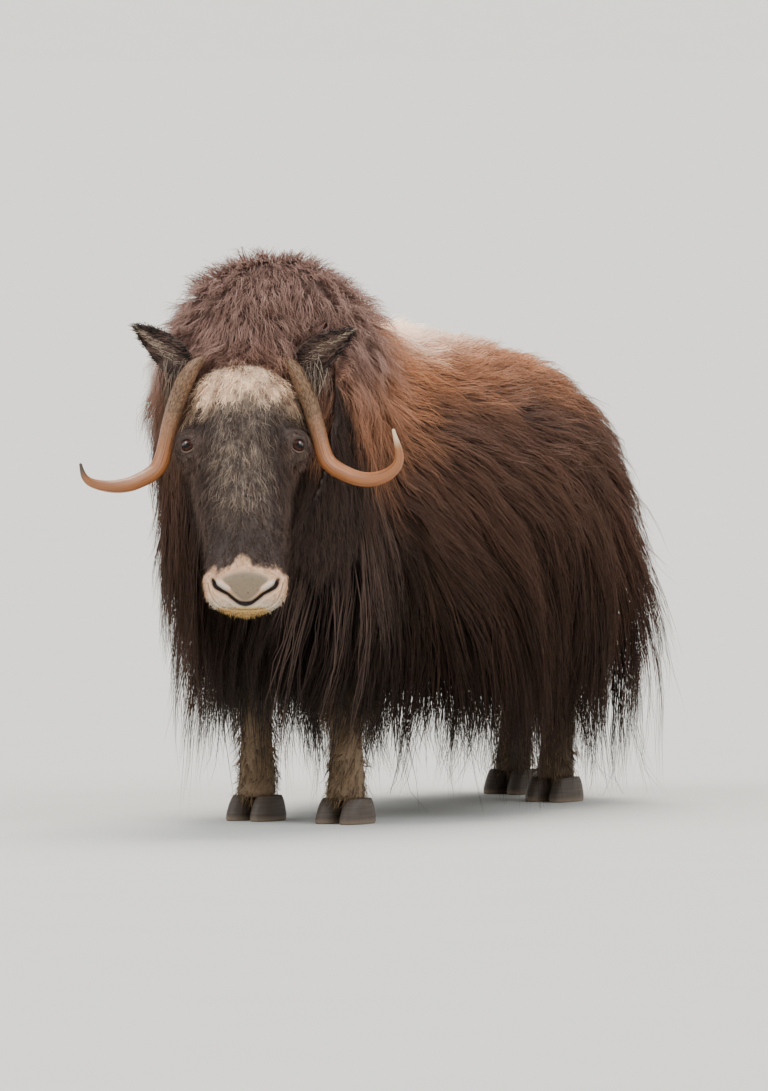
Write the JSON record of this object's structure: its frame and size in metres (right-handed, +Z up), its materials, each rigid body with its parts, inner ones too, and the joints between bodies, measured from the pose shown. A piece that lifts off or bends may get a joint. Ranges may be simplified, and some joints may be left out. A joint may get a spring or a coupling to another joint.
{
  "type": "muskox",
  "caption": "Life-size standing muskox cow with a long shaggy coat, slim curved horns and its head turned to its left.",
  "frame": {"origin": "centre of the bounding box's footprint, on the floor under the belly", "axes": "+Z up, -Y towards the animal's front along its back, +X towards the animal's left"},
  "size_m": [0.7196, 1.8048, 1.1819],
  "materials": {
    "coat": "long, coarse dark brown guard hair",
    "mane": "dense woolly brown mane with paler tips",
    "face": "short grey-brown hair over skin",
    "stocking": "short brown leg hair",
    "horn": "fibrous horn, tan, satin",
    "hoof": "dark horn, worn",
    "eye": "wet, dark brown"
  },
  "bodies": {
    "root": {"barrel": "coat", "ear_left": "face", "ear_right": "face", "eye_left": "eye", "eye_right": "eye", "fore_left_hoof_inner": "hoof", "fore_left_hoof_outer": "hoof", "fore_left_leg_lower": "stocking", "fore_left_leg_upper": "coat", "fore_right_hoof_inner": "hoof", "fore_right_hoof_outer": "hoof", "fore_right_leg_lower": "stocking", "fore_right_leg_upper": "coat", "head": "face", "hind_left_hoof_inner": "hoof", "hind_left_hoof_outer": "hoof", "hind_left_leg_lower": "stocking", "hind_left_leg_upper": "coat", "hind_right_hoof_inner": "hoof", "hind_right_hoof_outer": "hoof", "hind_right_leg_lower": "stocking", "hind_right_leg_upper": "coat", "horn_left": "horn", "horn_right": "horn", "neck": "mane", "rump": "coat", "shoulders": "mane", "tail": "coat"}
  },
  "joints": []
}
